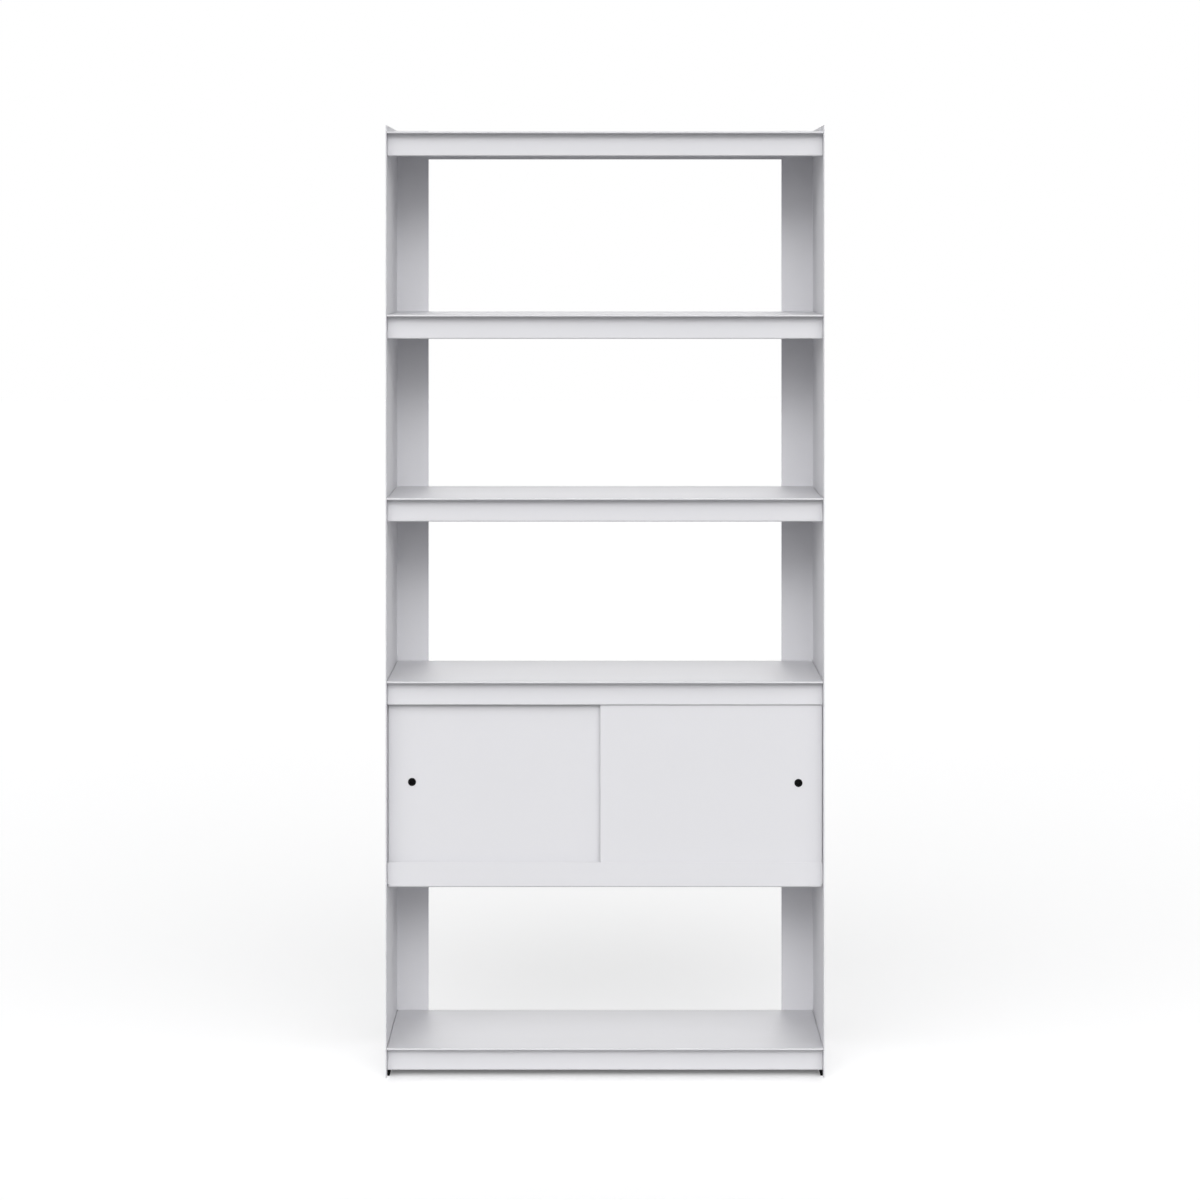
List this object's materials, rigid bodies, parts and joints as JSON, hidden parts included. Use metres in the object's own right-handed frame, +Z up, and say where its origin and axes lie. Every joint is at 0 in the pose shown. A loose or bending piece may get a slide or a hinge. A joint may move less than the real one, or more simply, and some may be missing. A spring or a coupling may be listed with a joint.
{
  "type": "bookcase with sliding doors",
  "caption": "Tall open bookcase of folded sheet steel with hemmed shelf fronts and a low cabinet closed by two sliding doors with round finger cups.",
  "frame": {"origin": "on the floor, under the middle of the bookcase's overall box", "axes": "+Z up; -Y is the front, where the doors are; +X to the right as seen from the front"},
  "size_m": [0.9, 0.35, 1.955],
  "materials": {
    "powder_coat": "fine satin powder coat, pale cool grey-white",
    "black_plastic": "moulded black nylon, fine matt",
    "track_plastic": "extruded pale grey plastic, satin",
    "zinc_plated_steel": "bright zinc plate"
  },
  "bodies": {
    "root": {"left_side_panel": "powder_coat", "right_side_panel": "powder_coat", "base_shelf": "powder_coat", "cabinet_floor_tray": "powder_coat", "cabinet_top_shelf": "powder_coat", "middle_shelf": "powder_coat", "upper_shelf": "powder_coat", "top_shelf": "powder_coat", "cabinet_back_panel": "powder_coat", "upper_door_track": "track_plastic", "lower_door_track": "track_plastic", "floor_glide_front_left": "black_plastic", "floor_glide_front_right": "black_plastic", "floor_glide_rear_left": "black_plastic", "floor_glide_rear_right": "black_plastic", "base_shelf_left_end_screw": "zinc_plated_steel", "base_shelf_left_rear_screw": "zinc_plated_steel", "base_shelf_right_end_screw": "zinc_plated_steel", "base_shelf_right_rear_screw": "zinc_plated_steel", "cabinet_floor_tray_left_end_screw": "zinc_plated_steel", "cabinet_floor_tray_left_rear_screw": "zinc_plated_steel", "cabinet_floor_tray_right_end_screw": "zinc_plated_steel", "cabinet_floor_tray_right_rear_screw": "zinc_plated_steel", "cabinet_top_shelf_left_end_screw": "zinc_plated_steel", "cabinet_top_shelf_left_rear_screw": "zinc_plated_steel", "cabinet_top_shelf_right_end_screw": "zinc_plated_steel", "cabinet_top_shelf_right_rear_screw": "zinc_plated_steel", "middle_shelf_left_end_screw": "zinc_plated_steel", "middle_shelf_left_rear_screw": "zinc_plated_steel", "middle_shelf_right_end_screw": "zinc_plated_steel", "middle_shelf_right_rear_screw": "zinc_plated_steel", "upper_shelf_left_end_screw": "zinc_plated_steel", "upper_shelf_left_rear_screw": "zinc_plated_steel", "upper_shelf_right_end_screw": "zinc_plated_steel", "upper_shelf_right_rear_screw": "zinc_plated_steel", "top_shelf_left_end_screw": "zinc_plated_steel", "top_shelf_left_rear_screw": "zinc_plated_steel", "top_shelf_right_end_screw": "zinc_plated_steel", "top_shelf_right_rear_screw": "zinc_plated_steel"},
    "left_door": {"left_door": "powder_coat", "left_door_pull": "black_plastic", "left_door_bottom_shoe_outer": "black_plastic", "left_door_bottom_shoe_inner": "black_plastic", "left_door_top_guide_outer": "black_plastic", "left_door_top_guide_inner": "black_plastic"},
    "right_door": {"right_door": "powder_coat", "right_door_pull": "black_plastic", "right_door_bottom_shoe_outer": "black_plastic", "right_door_bottom_shoe_inner": "black_plastic", "right_door_top_guide_outer": "black_plastic", "right_door_top_guide_inner": "black_plastic"}
  },
  "joints": [
    {"name": "left_door_slide", "type": "slide", "parent": "root", "child": "left_door", "axis": [1, 0, 0], "range_m": [0, 0.437]},
    {"name": "right_door_slide", "type": "slide", "parent": "root", "child": "right_door", "axis": [-1, 0, 0], "range_m": [0, 0.437]}
  ]
}
